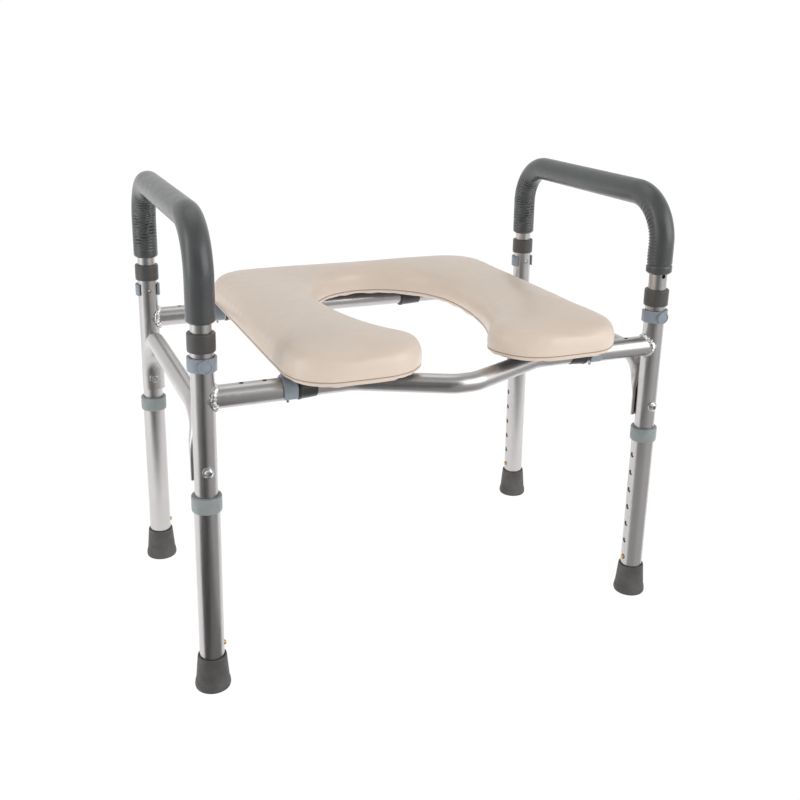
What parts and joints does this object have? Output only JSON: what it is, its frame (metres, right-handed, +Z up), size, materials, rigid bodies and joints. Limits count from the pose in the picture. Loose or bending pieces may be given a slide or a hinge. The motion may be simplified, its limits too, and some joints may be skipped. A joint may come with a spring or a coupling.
{
  "type": "commode chair",
  "caption": "Open-front padded commode seat on a tubular frame with height-adjustable legs, padded armrest loops and width-adjustable side frames.",
  "frame": {"origin": "on the floor, in the middle of the chair's outline", "axes": "+Z up, front of the chair towards -Y, left is -X"},
  "size_m": [0.6274, 0.43, 0.5565],
  "materials": {
    "anodised_aluminium": "satin anodised",
    "tip_rubber": "matt",
    "leg_collar_plastic": "satin moulded",
    "upright_collar_plastic": "satin moulded",
    "black_plastic": "satin moulded",
    "clip_plastic": "satin moulded",
    "grip_cover": "soft grained cover over foam",
    "seat_vinyl": "smooth sewn vinyl",
    "seat_base_plastic": "moulded",
    "plated_steel": "bright plated",
    "spring_steel": "spring steel",
    "brass": "plain"
  },
  "bodies": {
    "cross_frame": {"front_cross_bar": "anodised_aluminium", "rear_cross_bar": "anodised_aluminium"},
    "seat": {"seat_base": "seat_base_plastic", "seat_cushion": "seat_vinyl", "left_seat_saddle": "black_plastic", "right_seat_saddle": "black_plastic"},
    "left_side_frame": {"left_side_rail": "anodised_aluminium", "front_left_upright": "anodised_aluminium", "front_left_cross_stub": "anodised_aluminium", "front_left_stub_sleeve": "black_plastic", "front_left_upright_collar": "upright_collar_plastic", "front_left_rail_bolt": "plated_steel", "front_left_snap_spring": "spring_steel", "rear_left_upright": "anodised_aluminium", "rear_left_cross_stub": "anodised_aluminium", "rear_left_stub_sleeve": "black_plastic", "rear_left_upright_collar": "upright_collar_plastic", "rear_left_rail_bolt": "plated_steel", "rear_left_snap_spring": "spring_steel"},
    "left_armrest": {"left_armrest_tube": "anodised_aluminium", "left_armrest_grip": "grip_cover"},
    "front_left_leg": {"front_left_lower_leg": "anodised_aluminium", "front_left_leg_collar": "leg_collar_plastic", "front_left_rubber_tip": "tip_rubber"},
    "front_left_button": {"front_left_snap_button": "brass"},
    "front_left_arm_lock": {"front_left_arm_clip": "clip_plastic"},
    "front_left_width_lock": {"front_left_width_clip": "clip_plastic"},
    "rear_left_leg": {"rear_left_lower_leg": "anodised_aluminium", "rear_left_leg_collar": "leg_collar_plastic", "rear_left_rubber_tip": "tip_rubber"},
    "rear_left_button": {"rear_left_snap_button": "brass"},
    "rear_left_arm_lock": {"rear_left_arm_clip": "clip_plastic"},
    "rear_left_width_lock": {"rear_left_width_clip": "clip_plastic"},
    "right_side_frame": {"right_side_rail": "anodised_aluminium", "front_right_upright": "anodised_aluminium", "front_right_cross_stub": "anodised_aluminium", "front_right_stub_sleeve": "black_plastic", "front_right_upright_collar": "upright_collar_plastic", "front_right_rail_bolt": "plated_steel", "front_right_snap_spring": "spring_steel", "rear_right_upright": "anodised_aluminium", "rear_right_cross_stub": "anodised_aluminium", "rear_right_stub_sleeve": "black_plastic", "rear_right_upright_collar": "upright_collar_plastic", "rear_right_rail_bolt": "plated_steel", "rear_right_snap_spring": "spring_steel"},
    "right_armrest": {"right_armrest_tube": "anodised_aluminium", "right_armrest_grip": "grip_cover"},
    "front_right_leg": {"front_right_lower_leg": "anodised_aluminium", "front_right_leg_collar": "leg_collar_plastic", "front_right_rubber_tip": "tip_rubber"},
    "front_right_button": {"front_right_snap_button": "brass"},
    "front_right_arm_lock": {"front_right_arm_clip": "clip_plastic"},
    "front_right_width_lock": {"front_right_width_clip": "clip_plastic"},
    "rear_right_leg": {"rear_right_lower_leg": "anodised_aluminium", "rear_right_leg_collar": "leg_collar_plastic", "rear_right_rubber_tip": "tip_rubber"},
    "rear_right_button": {"rear_right_snap_button": "brass"},
    "rear_right_arm_lock": {"rear_right_arm_clip": "clip_plastic"},
    "rear_right_width_lock": {"rear_right_width_clip": "clip_plastic"}
  },
  "joints": [
    {"name": "seat_hinge", "type": "hinge", "parent": "cross_frame", "child": "seat", "pos_m": [0, 0.1895, 0.3571], "axis": [-1, 0, 0], "range_deg": [0, 95]},
    {"name": "left_width_slide", "type": "slide", "parent": "cross_frame", "child": "left_side_frame", "axis": [1, 0, 0], "range_m": [0, 0.0254]},
    {"name": "left_armrest_slide", "type": "slide", "parent": "left_side_frame", "child": "left_armrest", "axis": [0.0209, 0, 0.9998], "range_m": [0, 0.0762]},
    {"name": "front_left_leg_slide", "type": "slide", "parent": "left_side_frame", "child": "front_left_leg", "axis": [-0.0209, 0, -0.9998], "range_m": [0, 0.1524]},
    {"name": "front_left_button_press", "type": "slide", "parent": "left_side_frame", "child": "front_left_button", "axis": [-0.9998, 0, 0.0209], "range_m": [0, 0.004], "stiffness_N_per_m": 1000, "deforming": ["front_left_snap_spring"]},
    {"name": "front_left_arm_clip_pull", "type": "slide", "parent": "left_side_frame", "child": "front_left_arm_lock", "axis": [0, -1, 0], "range_m": [0, 0.035], "deforming": ["front_left_arm_clip"]},
    {"name": "front_left_width_clip_pull", "type": "slide", "parent": "cross_frame", "child": "front_left_width_lock", "axis": [0, 0, 1], "range_m": [0, 0.035], "deforming": ["front_left_width_clip"]},
    {"name": "rear_left_leg_slide", "type": "slide", "parent": "left_side_frame", "child": "rear_left_leg", "axis": [-0.0209, 0, -0.9998], "range_m": [0, 0.1524]},
    {"name": "rear_left_button_press", "type": "slide", "parent": "left_side_frame", "child": "rear_left_button", "axis": [-0.9998, 0, 0.0209], "range_m": [0, 0.004], "stiffness_N_per_m": 1000, "deforming": ["rear_left_snap_spring"]},
    {"name": "rear_left_arm_clip_pull", "type": "slide", "parent": "left_side_frame", "child": "rear_left_arm_lock", "axis": [0, 1, 0], "range_m": [0, 0.035], "deforming": ["rear_left_arm_clip"]},
    {"name": "rear_left_width_clip_pull", "type": "slide", "parent": "cross_frame", "child": "rear_left_width_lock", "axis": [0, 0, 1], "range_m": [0, 0.035], "deforming": ["rear_left_width_clip"]},
    {"name": "right_width_slide", "type": "slide", "parent": "cross_frame", "child": "right_side_frame", "axis": [-1, 0, 0], "range_m": [0, 0.0254]},
    {"name": "right_armrest_slide", "type": "slide", "parent": "right_side_frame", "child": "right_armrest", "axis": [-0.0209, 0, 0.9998], "range_m": [0, 0.0762]},
    {"name": "front_right_leg_slide", "type": "slide", "parent": "right_side_frame", "child": "front_right_leg", "axis": [0.0209, 0, -0.9998], "range_m": [0, 0.1524]},
    {"name": "front_right_button_press", "type": "slide", "parent": "right_side_frame", "child": "front_right_button", "axis": [0.9998, 0, 0.0209], "range_m": [0, 0.004], "stiffness_N_per_m": 1000, "deforming": ["front_right_snap_spring"]},
    {"name": "front_right_arm_clip_pull", "type": "slide", "parent": "right_side_frame", "child": "front_right_arm_lock", "axis": [0, -1, 0], "range_m": [0, 0.035], "deforming": ["front_right_arm_clip"]},
    {"name": "front_right_width_clip_pull", "type": "slide", "parent": "cross_frame", "child": "front_right_width_lock", "axis": [0, 0, 1], "range_m": [0, 0.035], "deforming": ["front_right_width_clip"]},
    {"name": "rear_right_leg_slide", "type": "slide", "parent": "right_side_frame", "child": "rear_right_leg", "axis": [0.0209, 0, -0.9998], "range_m": [0, 0.1524]},
    {"name": "rear_right_button_press", "type": "slide", "parent": "right_side_frame", "child": "rear_right_button", "axis": [0.9998, 0, 0.0209], "range_m": [0, 0.004], "stiffness_N_per_m": 1000, "deforming": ["rear_right_snap_spring"]},
    {"name": "rear_right_arm_clip_pull", "type": "slide", "parent": "right_side_frame", "child": "rear_right_arm_lock", "axis": [0, 1, 0], "range_m": [0, 0.035], "deforming": ["rear_right_arm_clip"]},
    {"name": "rear_right_width_clip_pull", "type": "slide", "parent": "cross_frame", "child": "rear_right_width_lock", "axis": [0, 0, 1], "range_m": [0, 0.035], "deforming": ["rear_right_width_clip"]}
  ]
}
